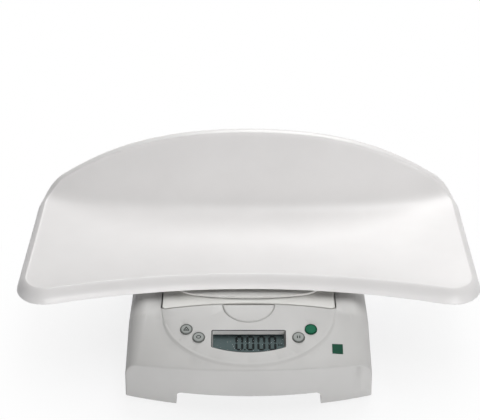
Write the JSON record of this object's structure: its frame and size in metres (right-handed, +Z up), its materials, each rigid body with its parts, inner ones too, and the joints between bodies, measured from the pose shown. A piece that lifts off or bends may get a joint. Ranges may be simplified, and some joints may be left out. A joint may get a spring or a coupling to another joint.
{
  "type": "digital baby scale",
  "caption": "Digital baby scale: dished tray with an arched back wall, on a base with a sloping display panel, round keys and a tray release pad.",
  "frame": {"origin": "middle of the bounding box on the floor, under the rubber feet", "axes": "+X to the right along the tray, +Y to the back, +Z up; the display faces -Y"},
  "size_m": [0.557, 0.3365, 0.1869],
  "materials": {
    "tray_plastic": "moulded, satin",
    "foot_plastic": "moulded, satin",
    "platform_plastic": "moulded, satin",
    "casing_plastic": "moulded, satin",
    "pan_plastic": "moulded, fine texture",
    "release_plastic": "moulded, satin",
    "catch_plastic": "moulded",
    "key_plastic": "moulded, printed",
    "green_plastic": "moulded",
    "sticker_film": "printed film",
    "clear_window": "clear, polished",
    "display_glass": "liquid crystal panel",
    "board_laminate": "solder mask",
    "silicone": "moulded silicone",
    "rubber": "moulded",
    "zinc_steel": "zinc plated",
    "fastener_steel": "zinc plated",
    "cell_aluminium": "milled, anodised",
    "battery_jacket": "printed sleeve"
  },
  "bodies": {
    "housing": {"upper_casing": "casing_plastic", "base_pan": "pan_plastic", "rubber_feet": "rubber", "casing_screws": "fastener_steel", "base_frame": "zinc_steel", "frame_screws": "fastener_steel", "load_cell": "cell_aluminium", "lower_spacer": "zinc_steel", "lower_bolts": "fastener_steel", "overload_stops": "zinc_steel", "display_lens": "clear_window", "lcd_panel": "display_glass", "display_frame": "catch_plastic", "circuit_board": "board_laminate", "board_screws": "fastener_steel", "key_mat": "silicone", "battery_box": "pan_plastic", "battery_cells": "battery_jacket", "battery_contacts": "fastener_steel", "cell_lead": "rubber", "sticker": "sticker_film"},
    "platform": {"platform_cover": "platform_plastic", "load_plate": "zinc_steel", "cover_screws": "fastener_steel", "upper_spacer": "zinc_steel", "upper_bolts": "fastener_steel", "catch_guide": "catch_plastic", "catch_spring": "fastener_steel"},
    "catch": {"catch_slider": "catch_plastic"},
    "tray": {"weighing_tray": "tray_plastic", "foot_plate": "foot_plastic", "foot_plate_screws": "fastener_steel", "foot_plate_pads": "rubber"},
    "release": {"release_pad": "release_plastic"},
    "battery_door": {"battery_cover": "pan_plastic"},
    "arrow_key_body": {"arrow_key": "key_plastic"},
    "tare_key_body": {"tare_key": "key_plastic"},
    "hold_key_body": {"hold_key": "key_plastic"},
    "power_key_body": {"power_key": "green_plastic"}
  },
  "joints": [
    {"name": "platform_deflection", "type": "slide", "parent": "housing", "child": "platform", "axis": [0, 0, 1], "range_m": [-0.0005, 0], "stiffness_N_per_m": 400000, "deforming": ["load_cell"]},
    {"name": "tray_lift", "type": "slide", "parent": "platform", "child": "tray", "axis": [0, 0, 1], "range_m": [0, 0.06]},
    {"name": "release_press", "type": "slide", "parent": "housing", "child": "release", "axis": [0, 0.2532, -0.9674], "range_m": [0, 0.0025], "stiffness_N_per_m": 1200},
    {"name": "catch_slide", "type": "slide", "parent": "platform", "child": "catch", "axis": [0, 1, 0], "range_m": [0, 0.0025]},
    {"name": "arrow_key_press", "type": "slide", "parent": "housing", "child": "arrow_key_body", "axis": [0, 0.2532, -0.9674], "range_m": [0, 0.0008], "stiffness_N_per_m": 3000},
    {"name": "tare_key_press", "type": "slide", "parent": "housing", "child": "tare_key_body", "axis": [0, 0.2532, -0.9674], "range_m": [0, 0.0008], "stiffness_N_per_m": 3000},
    {"name": "hold_key_press", "type": "slide", "parent": "housing", "child": "hold_key_body", "axis": [0, 0.2532, -0.9674], "range_m": [0, 0.0008], "stiffness_N_per_m": 3000},
    {"name": "power_key_press", "type": "slide", "parent": "housing", "child": "power_key_body", "axis": [0, 0.2532, -0.9674], "range_m": [0, 0.0008], "stiffness_N_per_m": 3000},
    {"name": "battery_cover_drop", "type": "slide", "parent": "housing", "child": "battery_door", "axis": [0, 0, -1], "range_m": [0, 0.012]}
  ],
  "couplings": [
    {"joint": "catch_slide", "follows": "release_press", "ratio": 1}
  ]
}
